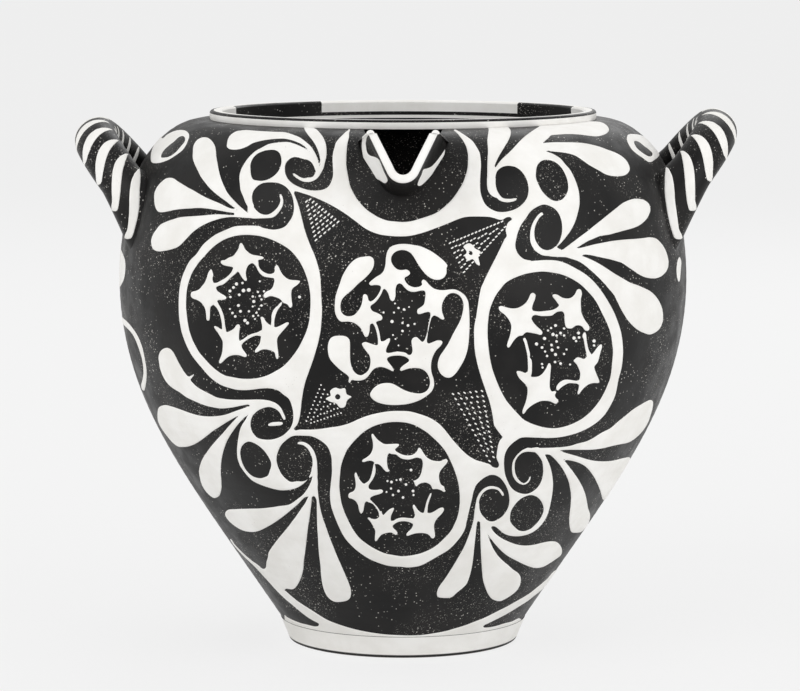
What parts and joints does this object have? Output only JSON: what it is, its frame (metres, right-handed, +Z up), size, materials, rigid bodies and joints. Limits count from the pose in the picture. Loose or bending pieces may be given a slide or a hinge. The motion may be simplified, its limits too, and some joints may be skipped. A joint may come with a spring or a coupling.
{
  "type": "bridge spouted jar",
  "caption": "Wide mouthed clay jar with a full shoulder tapering to a small foot, a bridged trough spout and loop handles, painted in white slip on dark slip.",
  "frame": {"origin": "centre of the underside of the foot disc", "axes": "+Z up along the jar's axis; the spout points along -Y, the handles stand at -X and +X"},
  "size_m": [0.2894, 0.2626, 0.2344],
  "materials": {
    "dark_slip": "near black burnished slip with a soft satin sheen and small pale flecks of wear",
    "white_slip": "matt chalky white slip, laid on slightly proud",
    "fired_clay": "bare fired clay with fine wheel marks"
  },
  "bodies": {
    "root": {"foot_disc": "white_slip", "lower_wall": "dark_slip", "shoulder_wall": "dark_slip", "rim_coil": "white_slip", "spout_trough": "dark_slip", "spout_luting": "dark_slip", "left_handle": "dark_slip", "right_handle": "dark_slip", "left_handle_luting": "dark_slip", "right_handle_luting": "dark_slip"}
  },
  "joints": []
}
